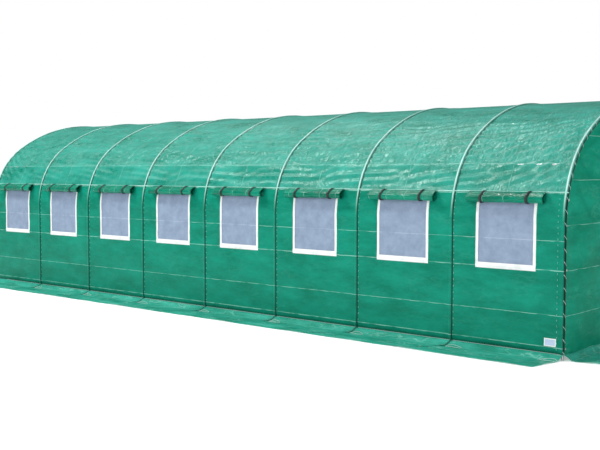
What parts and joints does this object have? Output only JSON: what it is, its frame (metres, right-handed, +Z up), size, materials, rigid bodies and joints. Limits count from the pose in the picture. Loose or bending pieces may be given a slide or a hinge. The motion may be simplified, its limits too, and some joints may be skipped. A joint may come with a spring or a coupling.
{
  "type": "polytunnel greenhouse",
  "caption": "Walk-in polytunnel greenhouse: steel hoops under a green woven cover, with roll-up net windows along both sides and a roll-up doorway at each end.",
  "frame": {"origin": "on the ground at the middle of the footprint", "axes": "+X along the tunnel towards the open front doorway, +Y towards the right wall for someone going in by that doorway, +Z up"},
  "size_m": [8.7916, 3.76, 2.1],
  "materials": {
    "galvanised_tube": "dull zinc-coated steel tube",
    "galvanised_plate": "dull zinc-coated pressed steel",
    "cover": "woven green polyethylene sheet with a glossy laminated face",
    "skirt": "the same green sheet, lying flat and catching more light",
    "net": "fine pale insect net",
    "white_tape": "white webbing tape, sewn",
    "flap": "green laminated sheet",
    "strap": "black hook-and-loop webbing",
    "zip": "black zip tape with moulded teeth",
    "cord": "dark twisted cord",
    "label": "pale blank woven label"
  },
  "bodies": {
    "root": {"hoop_1": "galvanised_tube", "hoop_2": "galvanised_tube", "hoop_3": "galvanised_tube", "hoop_4": "galvanised_tube", "hoop_5": "galvanised_tube", "hoop_6": "galvanised_tube", "hoop_7": "galvanised_tube", "hoop_8": "galvanised_tube", "hoop_9": "galvanised_tube", "ridge_rail": "galvanised_tube", "roof_purlins": "galvanised_tube", "eave_rails": "galvanised_tube", "sill_rails": "galvanised_tube", "base_rails": "galvanised_tube", "rail_brackets": "galvanised_plate", "front_end_frame": "galvanised_tube", "back_end_frame": "galvanised_tube", "roof_cover": "cover", "left_wall": "cover", "right_wall": "cover", "front_wall": "cover", "back_wall": "cover", "left_skirt": "skirt", "right_skirt": "skirt", "front_skirt": "skirt", "back_skirt": "skirt", "left_window_nets": "net", "right_window_nets": "net", "left_window_tapes": "white_tape", "right_window_tapes": "white_tape", "left_window_flaps": "flap", "right_window_flaps": "flap", "left_flap_straps": "strap", "right_flap_straps": "strap", "front_door_flap": "flap", "front_door_straps": "strap", "front_door_zips": "zip", "back_door_flap": "flap", "back_door_zips": "zip", "front_lacing": "cord", "back_lacing": "cord", "label": "label"}
  },
  "joints": []
}
